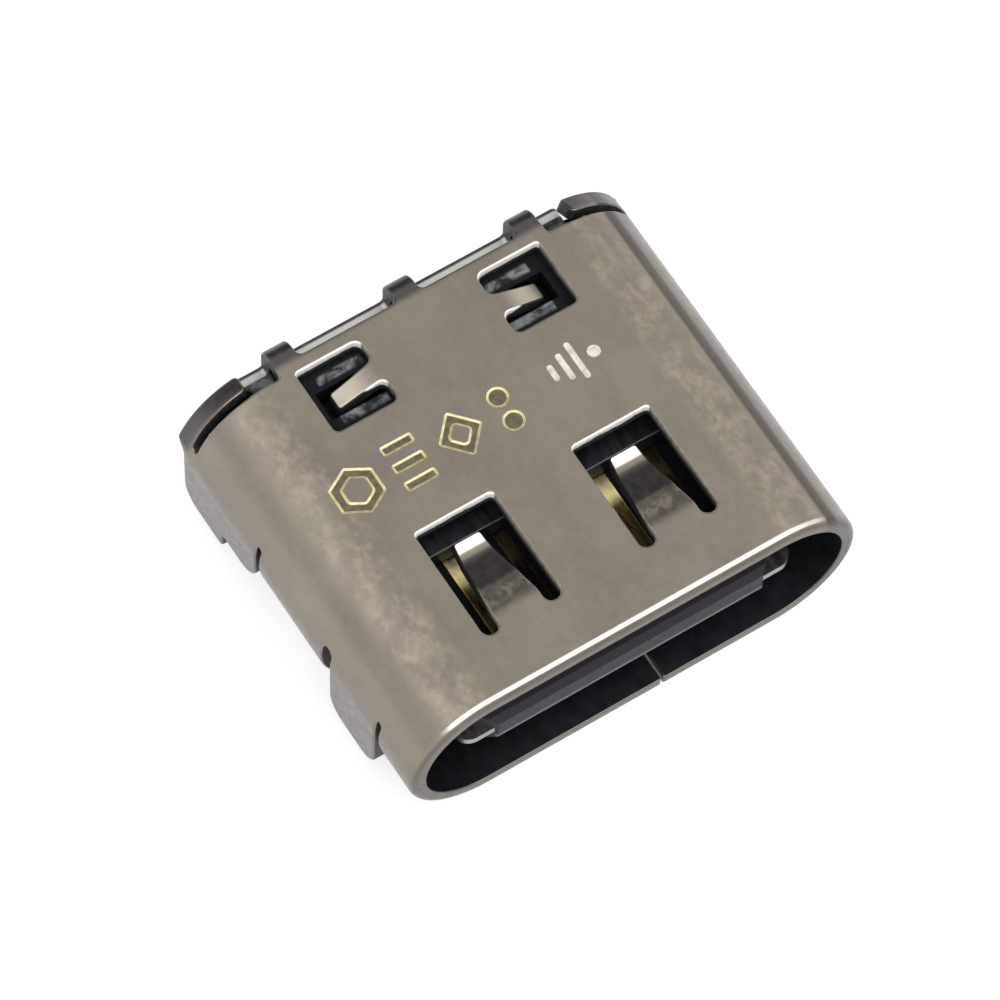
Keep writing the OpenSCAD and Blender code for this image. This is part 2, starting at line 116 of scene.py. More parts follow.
COVER_X, COVER_R = 3.3, 0.12
COVER_TOP_Z, COVER_LOW_Z = 2.46, 1.32
COVER_TOP = FOLD_Y + FOLD_LEN + (SHELL_H - HALF_SHEET - FOLD_R) - COVER_TOP_Z
COVER_LOW = COVER_TOP + COVER_TOP_Z - COVER_LOW_Z
COVER_MID = FOLD_Y + FOLD_R                     # middle of the cover's sheet
STRAP_Y, STRAP_END, CRIMP = 7.23, 7.63, 0.18    # CRIMP is how far the straps lean inwards
STRAP_TIP = EQUATOR - MEAN_R * math.radians(75)     # s, by how far round the side a strap reaches
STRAP_ROOT = EQUATOR - MEAN_R * math.radians(17)
LEG_Y, LEG_END, RELIEF_W, NOTCH = 1.2, 2.64, 0.12, 0.26
SKIRT_Y, REAR_LEG_Y, REAR_LEG_END = 5.05, 6.15, 7.4
RELIEF = EQUATOR - 0.4                          # s of the relief slots' upper ends
LEG_TIP = EQUATOR + MID_Z - 0.2                 # s of the legs' tips, 0.2 above the underside
SKIRT_TIP = EQUATOR + MID_Z - 0.65              # s of the skirts' lower edges, 0.65 above it
OPENING_LOW = 6.62                              # s of the side openings' lower edges
CONTACT_PITCH = 0.5
EASE = 0.002                                    # keeps two arcs from using up a short edge


# ---- outlines in the flat pattern ----
def rounded(corners, steps=6):
    """A closed outline through corners (s, y, radius), run with the inside on its left.

    Each point comes with the direction that leaves the outline's inside.
    """
    made = []
    count = len(corners)
    for i, (x, y, r) in enumerate(corners):
        here = Vector((x, y))
        back = (Vector(corners[i - 1][:2]) - here).normalized()
        ahead = (Vector(corners[(i + 1) % count][:2]) - here).normalized()
        half = back.angle(ahead) / 2
        middle = here + (back + ahead).normalized() * (r / math.sin(half))
        turn = math.copysign(1, back.y * ahead.x - back.x * ahead.y)
        first = here + back * (r / math.tan(half)) - middle
        start = math.atan2(first.y, first.x)
        sweep = turn * (math.pi - 2 * half)
        for k in range(steps + 1):
            angle = start + sweep * k / steps
            spoke = Vector((math.cos(angle), math.sin(angle)))
            made.append((middle + spoke * r, spoke * turn))
    return made


def circle(x, y, r, steps=28):
    spokes = [Vector((math.cos(a), math.sin(a))) for a in np.arange(steps) * 2 * math.pi / steps]
    return [(Vector((x, y)) + spoke * r, spoke) for spoke in spokes]


def flipped(loop):
    """The same outline, seen as a hole: its directions leave the material round it."""
    return [(point, -out) for point, out in reversed(loop)]


def mirrored(corners):
    return [(-x, y, r) for x, y, r in reversed(corners)]


def side_edge():
    """The pattern's rear edge from the bottom plate to the cover, for positive s."""
    return [
        (BOTTOM, BOTTOM_END, 0.06), (BOTTOM, BOTTOM_END - RELIEF_W, 0.05),
        (RELIEF, SKIRT_Y - RELIEF_W, 0.058), (RELIEF, SKIRT_Y, 0.058),
        (SKIRT_TIP, SKIRT_Y, 0.5), (SKIRT_TIP, REAR_LEG_Y, 0.1),
        (LEG_TIP, REAR_LEG_Y, 0.1), (LEG_TIP, REAR_LEG_END, 0.42),
        (STRAP_ROOT + 0.3, REAR_LEG_END, 0.12), (STRAP_ROOT + 0.12, STRAP_END, 0.12),
        (STRAP_TIP, STRAP_END, 0.1), (STRAP_TIP, STRAP_Y, 0.1),
        (STRAP_ROOT, STRAP_Y, 0.074), (STRAP_ROOT, SHOULDER_END, 0.074),
        (SHOULDER_X, SHOULDER_END, 0.06), (NECK_X + NECK, TOP_END + 0.1, 0.1),
        (NECK_X + NECK, COVER_TOP, 0.06), (COVER_X, COVER_TOP, COVER_R),
        (COVER_X, COVER_LOW, COVER_R)]


def seam_edge(x, grow):
    """One side of the locked seam, from front to rear, as (x, y, radius)."""
    middle = (WINDOW_END + BOTTOM_END) / 2
    return [
        (x, 0.0, 0.06), (x, middle - LOCK * 0.6 + grow, 0.06),
        (x - LOCK_REACH, middle - LOCK + grow, 0.06), (x - LOCK_REACH, middle + LOCK - grow, 0.06),
        (x, middle + LOCK * 0.6 - grow, 0.06), (x, BOTTOM_END, 0.06)]


def sheet_outline():
    """The whole sheet, split along the seam underneath."""
    right = [(ROUND - x, y, r) for x, y, r in seam_edge(SEAM_X + SEAM_GAP, SEAM_GAP)] + side_edge()
    left = mirrored([(ROUND + x, y, r) for x, y, r in seam_edge(SEAM_X, 0)] + side_edge())
    return rounded(right + left)


def leg_hole():
    """A side opening for positive s, with its front leg left in."""
    half = RELIEF_W / 2 - EASE
    rear = NOTCH / 2 - EASE
    return [
        (RELIEF, LEG_Y - RELIEF_W, half), (OPENING_LOW, LEG_Y - RELIEF_W, 0.12),
        (OPENING_LOW, LEG_END + NOTCH, 0.12), (RELIEF, LEG_END + NOTCH, rear),
        (RELIEF, LEG_END, rear), (LEG_TIP, LEG_END, 0.42),
        (LEG_TIP, LEG_Y, 0.42), (RELIEF, LEG_Y, half)]


def spring_hole(middle):
    """A front window with its spring left in, seen from outside."""
    end_r = SLOT / 2 - EASE
    root = WINDOW - SLOT
    return [
        (middle - WINDOW, WINDOW_Y, end_r), (middle - root, WINDOW_Y, end_r),
        (middle - root, WINDOW_Y + SLOT, 0.6), (middle - TIP, TIP_Y, 0.07),
        (middle + TIP, TIP_Y, 0.07), (middle + root, WINDOW_Y + SLOT, 0.6),
        (middle + root, WINDOW_Y, end_r), (middle + WINDOW, WINDOW_Y, end_r),
        (middle + WINDOW, WINDOW_END, 0.07), (middle - WINDOW, WINDOW_END, 0.09)]


def latch_hole():
    """A rear window for positive s, with its tab left in."""
    middle = (LATCH_Y + LATCH_END) / 2
    tip = LATCH_IN + TAB_REACH
    return [
        (LATCH_IN, LATCH_Y, 0.15), (LATCH_OUT, LATCH_Y, 0.12), (LATCH_OUT, LATCH_END, 0.07),
        (LATCH_IN, LATCH_END, 0.15), (LATCH_IN, middle + TAB, 0.15), (tip, middle + TAB - 0.03, 0.07),
        (tip, middle - TAB + 0.03, 0.07), (LATCH_IN, middle - TAB, 0.15)]


def neck_hole():
    """The gap between two necks, for positive s."""
    return [
        (NECK, TOP_END, 0.12), (NECK_X - NECK, TOP_END, 0.12),
        (NECK_X - NECK, COVER_TOP, 0.08), (NECK, COVER_TOP, 0.08)]


def sheet_holes():
    one_side = [leg_hole(), spring_hole(SPRING_X), spring_hole(ROUND - SPRING_X), latch_hole(),
                neck_hole()]
    other_side = [mirrored(corners) for corners in one_side]
    return [flipped(rounded(corners)) for corners in one_side + other_side]


def is_window(loop):
    """True for the holes in the top plate."""
    widest = max(abs(point.x) for point, _ in loop)
    rearmost = max(point.y for point, _ in loop)
    return widest < NECK_X + NECK and rearmost < TOP_END


# ---- generic stamped marks ----
MARK_Y, MARK_H, STROKE = 4.57, 0.98, 0.2
MARK_X = (-2.7, -1.68, -0.66, 0.25)
TICK_X, TICK_Y, TICK_W, TICK_STEP = 1.3, 4.72, 0.11, 0.24


def bar(x, y, w, h, r=0.05):
    """A bar of width w and height h round (x, y)."""
    w, h = w / 2, h / 2
    return rounded([(x - w, y - h, r), (x + w, y - h, r), (x + w, y + h, r), (x - w, y + h, r)])


def polygon_ring(x, y, radii, sides, stretch=1.0):
    """A ring between two polygons, whose corners lie at the two radii."""
    loops = []
    for r in radii:
        turns = [math.pi * (0.5 + 2 * k / sides) for k in range(sides)]
        loops.append(rounded([(x + r * stretch * math.cos(a), y + r * math.sin(a), 0.06) for a in turns]))
    return [loops[0], flipped(loops[1])]


def gilt_marks():
    """Four plain figures: a hexagon, three bars, a diamond and two discs."""
    half = MARK_H / 2
    hexagon = polygon_ring(MARK_X[0], MARK_Y, (half, half - STROKE * 1.15), 6)
    bars = [bar(MARK_X[1], MARK_Y + side * (half - STROKE / 2), 0.62, STROKE) for side in (-1, 0, 1)]
    diamond = polygon_ring(MARK_X[2], MARK_Y, (half, half - STROKE * 1.35), 4, 0.9)
    discs = [circle(MARK_X[3], MARK_Y + side * 0.26, 0.2) for side in (-1, 1)]
    return hexagon + bars + diamond + discs


def bright_marks():
    """A row of short ticks that ends in a dot."""
    ticks = [bar(TICK_X + k * TICK_STEP, TICK_Y, TICK_W, h) for k, h in enumerate((0.34, 0.56, 0.78))]
    return ticks + [circle(TICK_X + 3.4 * TICK_STEP, TICK_Y, 0.12)]


# ---- from the flat pattern to the folded shell ----
def spring_drop(share):
    """A short bend at the root, a straight slope, and a tip that curls back up."""
    length = BEND_END - BEND_START
    bend = np.clip(share - BEND_START, 0, length)
    straight = np.clip(share - BEND_END, 0, None)
    curl = np.clip((share - CURL_START) / (1 - CURL_START), 0, 1)
    slope = DIP / (length / 2 + DIP_AT - BEND_END)
    return slope * (bend ** 2 / (2 * length) + straight) - CURL * curl ** 1.5


BASE, SPRING, TAB_ZONE, FOLD, LEG, STRAP = range(6)


def zones(p):
    """Which bend each point of the pattern follows. The limits run through the cuts round each flap."""
    s, y = np.abs(p[:, 0]), p[:, 1]
    zone = np.full(len(p), BASE)
    for middle in (SPRING_X, ROUND - SPRING_X):
        zone[(np.abs(s - middle) < SPRING_ZONE) & (y > WINDOW_Y) & (y < WINDOW_END - 0.2)] = SPRING
    zone[(s > LATCH_IN) & (s < LATCH_OUT - 0.15) & (y > LATCH_Y + 0.25) & (y < LATCH_END - 0.25)] = TAB_ZONE
    zone[((s < SHOULDER_X) & (y > FOLD_Y)) | (y > COVER_TOP - 0.1)] = FOLD
    front = (y > LEG_Y - RELIEF_W / 2) & (y < LEG_END + NOTCH / 2)
    rear = y > SKIRT_Y - RELIEF_W / 2
    zone[(s > EQUATOR) & (s < LEG_TIP + 0.02) & (front | rear)] = LEG
    strap = (y > (SHOULDER_END + STRAP_Y) / 2) & (y < STRAP_END + 0.02)
    zone[(s > STRAP_TIP - 0.05) & (s <= EQUATOR) & strap] = STRAP
    return zone


def fold(p, zone):
    """Pattern points (s, y, n) carried to the folded shell, as (x, y, z)."""
    side = np.sign(p[:, 0])
    s, y, n = np.abs(p[:, 0]), p[:, 1], p[:, 2].copy()
    # the mouth's outer edge is rounded
    depth = np.clip(LIP - y, 0, LIP)
    n -= (n + HALF_SHEET) / SHEET * (LIP - np.sqrt(LIP ** 2 - depth ** 2))
    # the corner straps lean inwards
    lean = (CRIMP * np.clip((y - STRAP_Y) / (STRAP_END - STRAP_Y), 0, 1)
            * np.clip((STRAP_ROOT + 0.1 - s) / (STRAP_ROOT - STRAP_TIP), 0, 1) ** 0.7)
    n = np.where(zone == STRAP, n - lean, n)
    # the springs and the tabs bend into the shell
    drop = spring_drop((y - WINDOW_Y) / (TIP_Y - WINDOW_Y))
    n = np.where(zone == SPRING, n - drop, n)
    reach = s - LATCH_IN
    slope = TAB_DIP / (TAB_REACH - TAB_BEND / 2)
    bent = np.where(reach < TAB_BEND, slope * reach ** 2 / (2 * TAB_BEND), slope * (reach - TAB_BEND / 2))
    n = np.where(zone == TAB_ZONE, n - bent, n)
    # the sheet rolls round both sides
    angle = np.clip((s - FLAT_HALF) / MEAN_R, 0, math.pi)
    flat = np.where(s > BOTTOM, ROUND - s, np.minimum(s, FLAT_HALF))
    x = flat + (MEAN_R + n) * np.sin(angle)
    z = MID_Z + (MEAN_R + n) * np.cos(angle)
    # the legs leave the round side and hang straight
    x = np.where(zone == LEG, FLAT_HALF + MEAN_R + n, x)
    z = np.where(zone == LEG, MID_Z - (s - EQUATOR), z)
    # the necks bend down into the cover
    turn = np.clip((y - FOLD_Y) / FOLD_R, 0, math.pi / 2)
    below = np.clip(y - FOLD_Y - FOLD_LEN, 0, None)
    x = np.where(zone == FOLD, s, x)
    z = np.where(zone == FOLD, SHELL_H - HALF_SHEET - FOLD_R + (FOLD_R + n) * np.cos(turn) - below, z)
    y = np.where(zone == FOLD, FOLD_Y + (FOLD_R + n) * np.sin(turn), y)
    return np.stack([side * x, y, z], axis=1)


def fold_normals(p, zone, flat_normals):
    """The pattern's normals turned along with the sheet."""
    step = 1e-4
    columns = []
    for axis in range(3):
        nudge = np.zeros(3)
        nudge[axis] = step
        columns.append((fold(p + nudge, zone) - fold(p - nudge, zone)) / (2 * step))
    ds, dy, dn = columns
    turned = (flat_normals[:, :1] * np.cross(dy, dn) + flat_normals[:, 1:2] * np.cross(dn, ds)
              + flat_normals[:, 2:] * np.cross(ds, dy))
    return turned / np.maximum(np.linalg.norm(turned, axis=1, keepdims=True), 1e-9)


# ---- mesh building ----
STEEL, GILT, DULL, CUT, INNER, DARK_CUT = range(6)


def inside(points, edges):
    """True where a point has an odd number of edges to its right."""
    x, y = points[:, :1], points[:, 1:]
    x0, y0, x1, y1 = edges[:, 0, 0], edges[:, 0, 1], edges[:, 1, 0], edges[:, 1, 1]
    crosses = (y0 > y) != (y1 > y)
    rise = np.where(y1 == y0, 1, y1 - y0)
    right = x < x0 + (y - y0) / rise * (x1 - x0)
    return (crosses & right).sum(axis=1) % 2 == 1


class FlatMesh:
    """Collects points with their normals, and faces with their material."""

    def __init__(self):
        self.points, self.normals, self.faces, self.kinds = [], [], [], []

    def ring(self, loop, inset, height, tilt):
        """Adds the outline moved into its material by inset. tilt turns the normals up, in radians."""
        start = len(self.points)
        for point, out in loop:
            at = point - out * inset
            self.points.append((at.x, at.y, height))
            level = out * math.cos(tilt)
            self.normals.append((level.x, level.y, math.sin(tilt)))
        return list(range(start, len(self.points)))

    def strip(self, upper, lower, kind):
        """Joins two rings. The mouth's edge is rolled smooth, so it stays plain steel."""
        count = len(upper)
        for i in range(count):
            j = (i + 1) % count
            self.faces.append((upper[i], lower[i], lower[j], upper[j]))
            self.kinds.append(STEEL if kind == DARK_CUT and self.points[upper[i]][1] < LIP else kind)

    def cap(self, rings, up=True, kind=STEEL):
        """Fills between closed rings, counting holes and islands by turns."""
        index = [i for ring in rings for i in ring]
        edges, start = [], 0
        for ring in rings:
            count = len(ring)
            edges += [(start + i, start + (i + 1) % count) for i in range(count)]
            start += count
        flat = [Vector(self.points[i][:2]) for i in index]
        _, _, triangles, origin, _, _ = delaunay_2d_cdt(flat, edges, [], 0, 1e-7, True)
        corners = np.array([[flat[origin[v][0]] for v in triangle] for triangle in triangles])
        kept = inside(corners.mean(axis=1), np.array([[flat[a], flat[b]] for a, b in edges]))
        for triangle in np.array(triangles)[kept]:
            face = [index[origin[v][0]] for v in triangle]
            self.faces.append(tuple(face if up else reversed(face)))
            self.kinds.append(kind)

    def to_bmesh(self):
        bm = bmesh.new()
        layer = bm.verts.layers.float_vector.new("flat_normal")
        made = [bm.verts.new(p) for p in self.points]
        for vert, normal in zip(made, self.normals):
            vert[layer] = normal
        for face, kind in zip(self.faces, self.kinds):
            bm.faces.new([made[i] for i in face]).material_index = kind
        return bm


def plate_walls(mesh, loop, kind, steps=4):
    """The cut edge of the sheet, rounded above and below. Returns its upper and lower rings."""
    plain = 1 if kind == CUT else steps - 1     # strips of the upper rounding that stay plain steel
    rings = []
    for sign, rim in ((1, RIM_TOP), (-1, RIM_LOW)):
        order = range(steps, -1, -1) if sign > 0 else range(steps + 1)
        for k in order:
            tilt = math.pi / 2 * k / steps
            rings.append(mesh.ring(loop, rim * (1 - math.cos(tilt)),
                                   sign * (HALF_SHEET - rim + rim * math.sin(tilt)), sign * tilt))
    for k, (upper, lower) in enumerate(zip(rings, rings[1:])):
        mesh.strip(upper, lower, STEEL if k < plain else kind)
    return rings[0], rings[-1]


def pocket(mesh, loop, wall_kind):
    """A shallow stamped recess below the upper face. Returns its rim and floor rings."""
    depth, width, wall_tilt = 0.02, 0.045, math.radians(60)
    rim = mesh.ring(loop, 0, HALF_SHEET, math.pi / 2)
    wall = mesh.ring(loop, width / 2, HALF_SHEET - depth / 2, math.pi / 2)
    floor = mesh.ring(loop, width, HALF_SHEET - depth, math.pi / 2)
    for i, (_, out) in zip(wall, loop):
        level = -out * math.cos(wall_tilt)
        mesh.normals[i] = (level.x, level.y, math.sin(wall_tilt))
    mesh.strip(floor, wall, wall_kind)
    mesh.strip(wall, rim, wall_kind)
    return rim, floor


def cut_lines(bm, axis, places, chosen=None):
    """Cuts the faces along straight lines across the pattern, where chosen(face middle) holds."""
    normal = Vector((0, 0, 0))
    normal[axis] = 1
    for place in places:
        parts = set()
        for face in bm.faces:
            along = [vert.co[axis] for vert in face.verts]
            if min(along) < place < max(along) and (chosen is None or chosen(face.calc_center_median())):
                parts.update([face], face.edges, face.verts)
        bmesh.ops.bisect_plane(bm, geom=list(parts), dist=1e-6, plane_co=normal * place, plane_no=normal)


def cut_for_bends(bm):
    """Cuts the pattern finely enough to follow each bend."""
    arcs = [FLAT_HALF + MEAN_R * math.radians(a) for a in range(0, 181, 5)]
    cut_lines(bm, 0, arcs + [-a for a in arcs])
    cut_lines(bm, 1, [LIP * (1 - math.cos(math.radians(a))) for a in (6, 15, 25, 36, 48, 60, 74, 90)])
    for middle in (SPRING_X, ROUND - SPRING_X, -SPRING_X, SPRING_X - ROUND):
        cut_lines(bm, 1, np.linspace(WINDOW_Y, TIP_Y, 25)[1:-1],
                  lambda c: abs(c.x - middle) < SPRING_ZONE and c.y < WINDOW_END - 0.2)
    shares = (0.007, 0.25, 0.5, 0.75, 1)            # of the tab's bend, the first just past its root
    for side in (1, -1):
        cut_lines(bm, 0, [side * (LATCH_IN + TAB_BEND * share) for share in shares],
                  lambda c: LATCH_Y < c.y < LATCH_END)
    cut_lines(bm, 1, np.linspace(STRAP_Y, STRAP_END, 6)[:-1], lambda c: abs(c.x) > SHOULDER_X)
    cut_lines(bm, 1, [FOLD_Y + FOLD_LEN * k / 9 for k in range(10)], lambda c: abs(c.x) < SHOULDER_X)


def shell_mesh():
    """The folded sheet as a bmesh of the pattern, with its folded points and normals."""
    mesh = FlatMesh()
    plates = [plate_walls(mesh, loop, CUT if is_window(loop) else DARK_CUT)
              for loop in [sheet_outline()] + sheet_holes()]
    gilt = [pocket(mesh, loop, GILT) for loop in gilt_marks()]
    bright = [pocket(mesh, loop, CUT) for loop in bright_marks()]
    mesh.cap([upper for upper, _ in plates] + [rim for rim, _ in gilt + bright])
    mesh.cap([lower for _, lower in plates], up=False, kind=INNER)
    mesh.cap([floor for _, floor in gilt], kind=DULL)
    mesh.cap([floor for _, floor in bright], kind=CUT)
    bm = mesh.to_bmesh()
    cut_for_bends(bm)
    bmesh.ops.remove_doubles(bm, verts=bm.verts, dist=1e-5)
    bmesh.ops.triangulate(bm, faces=[f for f in bm.faces if len(f.verts) > 4])
    layer = bm.verts.layers.float_vector["flat_normal"]
    p = np.array([v.co for v in bm.verts])
    flat_normals = np.array([v[layer] for v in bm.verts])
    zone = zones(p)
    normals = fold_normals(p, zone, flat_normals)
    return bm, fold(p, zone), normals


def to_object(name, bm, points, normals, materials):
    """Makes the object in metres, in the frame, with its own normals."""
    for vert, point in zip(bm.verts, points):
        vert.co = Vector(point) * MM + Vector((0, CAD_BOX[0].y, 0))
    data = bpy.data.meshes.new(name)
    bm.to_mesh(data)
    bm.free()
    data.attributes.remove(data.attributes["flat_normal"])
    for polygon in data.polygons:
        polygon.use_smooth = True
    data.normals_split_custom_set_from_vertices([tuple(n) for n in normals])
    for material in materials:
        data.materials.append(material)
    made = bpy.data.objects.new(name, data)
    bpy.context.scene.collection.objects.link(made)
    return made


# ---- materials ----
class Nodes:
    """A short way to write a node tree."""

    def __init__(self, tree):
        self.tree = tree

    def add(self, kind, **settings):
        made = self.tree.nodes.new(kind)
        for key, value in settings.items():
            setattr(made, key, value)
        return made

    def link(self, source, target):
        self.tree.links.new(source, target)

    def feed(self, socket, value):
        """Gives a socket a link, a number or a colour."""
        if isinstance(value, bpy.types.NodeSocket):
            self.link(value, socket)
        else:
            socket.default_value = value if isinstance(value, (int, float)) else (*value, 1)

    def mix(self, factor, a, b):
        made = self.add("ShaderNodeMix", data_type="RGBA")
        for socket, value in ((made.inputs[0], factor), (made.inputs[6], a), (made.inputs[7], b)):
            self.feed(socket, value)
        return made.outputs[2]

    def ramp(self, value, stops):
        made = self.add("ShaderNodeValToRGB")
        elements = made.color_ramp.elements
        while len(elements) < len(stops):
            elements.new(0.5)
        for element, (place, colour) in zip(elements, stops):
            element.position = place
            element.color = (*colour, 1)
        self.link(value, made.inputs["Fac"])
        return made.outputs["Color"]

    def math(self, operation, a, b=0.0):
        made = self.add("ShaderNodeMath", operation=operation)
        for socket, value in zip(made.inputs, (a, b)):
            self.feed(socket, value)
        return made.outputs[0]

    def product(self, first, *rest):
        """Several masks or numbers multiplied."""
        for mask in rest:
            first = self.math("MULTIPLY", first, mask)
        return first

    def spread(self, value, low, high, start=0.3, end=0.7):
        """Carries value from start..end to low..high, smoothly."""
        made = self.add("ShaderNodeMapRange", interpolation_type="SMOOTHSTEP")
        self.link(value, made.inputs["Value"])
        for name, number in (("From Min", start), ("From Max", end), ("To Min", low), ("To Max", high)):
            made.inputs[name].default_value = number
        return made.outputs["Result"]

    def band(self, value, span, edge):
        """1 within span, falling to 0 over edge on both sides."""
        start, end = span
        return self.product(self.spread(value, 0, 1, start - edge, start),
                            self.spread(value, 1, 0, end, end + edge))


class Surface(Nodes):
    """The nodes of a new material on a piece."""

    def __init__(self, name):
        self.material = bpy.data.materials.new(name)
        self.material.use_nodes = True
        super().__init__(self.material.node_tree)
        self.shader = self.tree.nodes["Principled BSDF"]
        self.coords = self.add("ShaderNodeTexCoord")

    def scaled(self, x, y, z, origin_y=0.0):
        """Object coordinates in millimetres from origin_y, stretched by x, y and z."""
        mapping = self.add("ShaderNodeMapping")
        mapping.inputs["Scale"].default_value = (x / MM, y / MM, z / MM)
        mapping.inputs["Location"].default_value = (0, -origin_y * y, 0)
        self.link(self.coords.outputs["Object"], mapping.inputs["Vector"])
        return mapping.outputs["Vector"]

    def measure(self):
        """Keeps x, y and z in millimetres, with the mouth at y = 0, and wide, the distance from x = 0."""
        split = self.add("ShaderNodeSeparateXYZ")
        self.link(self.scaled(1, 1, 1, MOUTH_Y), split.inputs[0])
        self.x, self.y, self.z = split.outputs
        self.wide = self.math("ABSOLUTE", self.x)

    def noise(self, vector, scale=1.0, detail=3, roughness=0.55, distortion=0):
        made = self.add("ShaderNodeTexNoise")
        self.link(vector, made.inputs["Vector"])
        made.inputs["Scale"].default_value = scale
        made.inputs["Detail"].default_value = detail
        made.inputs["Roughness"].default_value = roughness
        made.inputs["Distortion"].default_value = distortion
        return made.outputs["Fac"]

    def bump(self, height, depth_mm, strength, after=None):
        made = self.add("ShaderNodeBump")
        made.inputs["Strength"].default_value = strength
        made.inputs["Distance"].default_value = depth_mm * MM
        self.link(height, made.inputs["Height"])
        if after is not None:
            self.link(after, made.inputs["Normal"])
        return made.outputs["Normal"]

    def complete(self, colour, roughness, metallic=0.0, normal=None):
        """Connects the shader and gives the finished material."""
        self.link(colour, self.shader.inputs["Base Color"])
        self.link(roughness, self.shader.inputs["Roughness"])
        self.shader.inputs["Metallic"].default_value = metallic
        if normal is not None:
            self.link(normal, self.shader.inputs["Normal"])
        return self.material


# The shell's colour, with its painted highlights and painted shade, is laid on in layers. Each takes the
# colour under it and gives the new one.
# Spans are in millimetres: wide and x from the middle, y from the mouth, z from the underside.
def clouds(n):
    """Warm grey with olive and mauve clouds, under a fine grain."""
    cloud = n.noise(n.scaled(0.9, 0.55, 0.9), 1.0, 3, 0.6, 0.4)
    hue = n.noise(n.scaled(1.4, 0.8, 1.4), 1.0, 2, 0.55)
    tone = n.ramp(cloud, [(0.3, (0.235, 0.203, 0.165)), (0.5, (0.285, 0.248, 0.203)),
                          (0.7, (0.335, 0.292, 0.240))])
    olive = n.mix(0.5, tone, (0.266, 0.246, 0.188))
    mauve = n.mix(0.5, tone, (0.262, 0.216, 0.198))
    clouded = n.mix(n.spread(hue, 0, 1, 0.35, 0.65), olive, mauve)
    grain = n.ramp(n.fine, [(0.3, (0.21, 0.183, 0.15)), (0.7, (0.40, 0.35, 0.285))])
    return n.mix(0.1, clouded, grain)


def shoulder_sheen_and_grain(n, under):
    """A paler, broken band where the top plate turns into the round sides: a painted sheen, broken by a
    grain.
    """
    patch = n.noise(n.scaled(2.4, 1.7, 2.4), 1.0, 4, 0.7, 0.2)
    patchy = n.product(n.band(n.wide, (3.1, 3.6), 0.3), n.upper, n.spread(patch, 0.1, 0.9, 0.4, 0.62))
    pale = n.ramp(n.fine, [(0.3, (0.33, 0.285, 0.228)), (0.7, (0.44, 0.375, 0.298))])
    return n.mix(patchy, under, pale)


def right_shoulder_shade_line(n, under):
    """A painted dark line of shade along the right shoulder."""
    shade_line = n.product(n.band(n.x, (3.86, 3.98), 0.1), n.upper, 0.85)
    return n.mix(shade_line, under, (0.07, 0.058, 0.05))


def shaded_sides(n, under):
    """The round sides, darker towards the board."""
    side = n.product(n.spread(n.z, 1, 0, 1.2, 2.5), n.spread(n.wide, 0, 1, 3.4, 3.9), 0.75)
    return n.mix(side, under, (0.135, 0.125, 0.112))


def tab_highlights(n, under):
    """The rear tabs, painted pale where they dip below the plate: a painted highlight on their slope."""
    tab = n.product(n.band(n.wide, (1.3, 2.2), 0.12), n.band(n.y, (6.0, 6.7), 0.1),
                    n.spread(n.z, 1, 0, SHELL_H - 0.21, SHELL_H - 0.01), 0.8)
    return n.mix(tab, under, (0.62, 0.55, 0.44))


def spring_shade_and_highlights(n, under):
    """The top springs: paler in broken patches at the root, painted shade down the slope, and a painted
    highlight at the tip.
    """
    rough = n.noise(n.scaled(6, 4.5, 6), 1.0, 3, 0.6, 0.5)
    root = n.product(n.band(n.wide, (1.2, 1.92), 0.1), n.band(n.y, (1.62, 1.86), 0.14),
                     n.spread(n.z, 0, 1, SHELL_H - 0.12, SHELL_H - 0.08),
                     n.spread(rough, 0, 0.8, 0.45, 0.58))
    below = n.product(n.band(n.wide, (1, 2.1), 0.1), n.spread(n.z, 1, 0, SHELL_H - 0.1, SHELL_H - 0.01))
    # painted shade down the spring's slope, which faces away from the light
    slope = n.product(below, n.band(n.y, (2.0, 2.58), 0.1), 0.72)
    # painted highlight on the spring's curled tip
    tip = n.product(below, n.band(n.y, (2.76, 3.1), 0.04))
    pale_patched = n.mix(root, under, (0.52, 0.47, 0.40))
    shaded = n.mix(slope, pale_patched, (0.045, 0.046, 0.05))
    return n.mix(tip, shaded, (0.80, 0.77, 0.72))


def mouth_highlight_and_shade(n, under):
    """The mouth's rolled edge: a painted highlight along the top, painted shade on the face."""
    lip_highlight = n.product(n.band(n.y, (0.07, 0.11), 0.03), n.spread(n.z, 0, 1, 2.8, 3.0), 0.85)
    with_lip_highlight = n.mix(lip_highlight, under, (0.86, 0.83, 0.76))
    # painted shade on the mouth's front face
    return n.mix(n.spread(n.y, 0.75, 0, 0.02, 0.07), with_lip_highlight, (0.115, 0.105, 0.095))


def right_side_shade(n, under):
    """The upper right side, painted darker than the left as shade."""
    return n.mix(n.product(n.spread(n.x, 0, 0.45, 3.96, 4.06), n.upper), under, (0.13, 0.125, 0.115))


def rear_shade(n, under):
    """The straps and the necks, painted dark as shade."""
    straps = n.product(n.spread(n.wide, 0, 1, 3.25, 3.35), n.spread(n.z, 0, 1, 1.7, 2.0))
    necks = n.spread(n.z, 0, 1, 2.3, 2.5)
    rear = n.product(n.spread(n.y, 0, 0.78, TOP_END - 0.13, TOP_END + 0.05),
                     n.math("MAXIMUM", straps, necks))
    return n.mix(rear, under, (0.055, 0.055, 0.058))


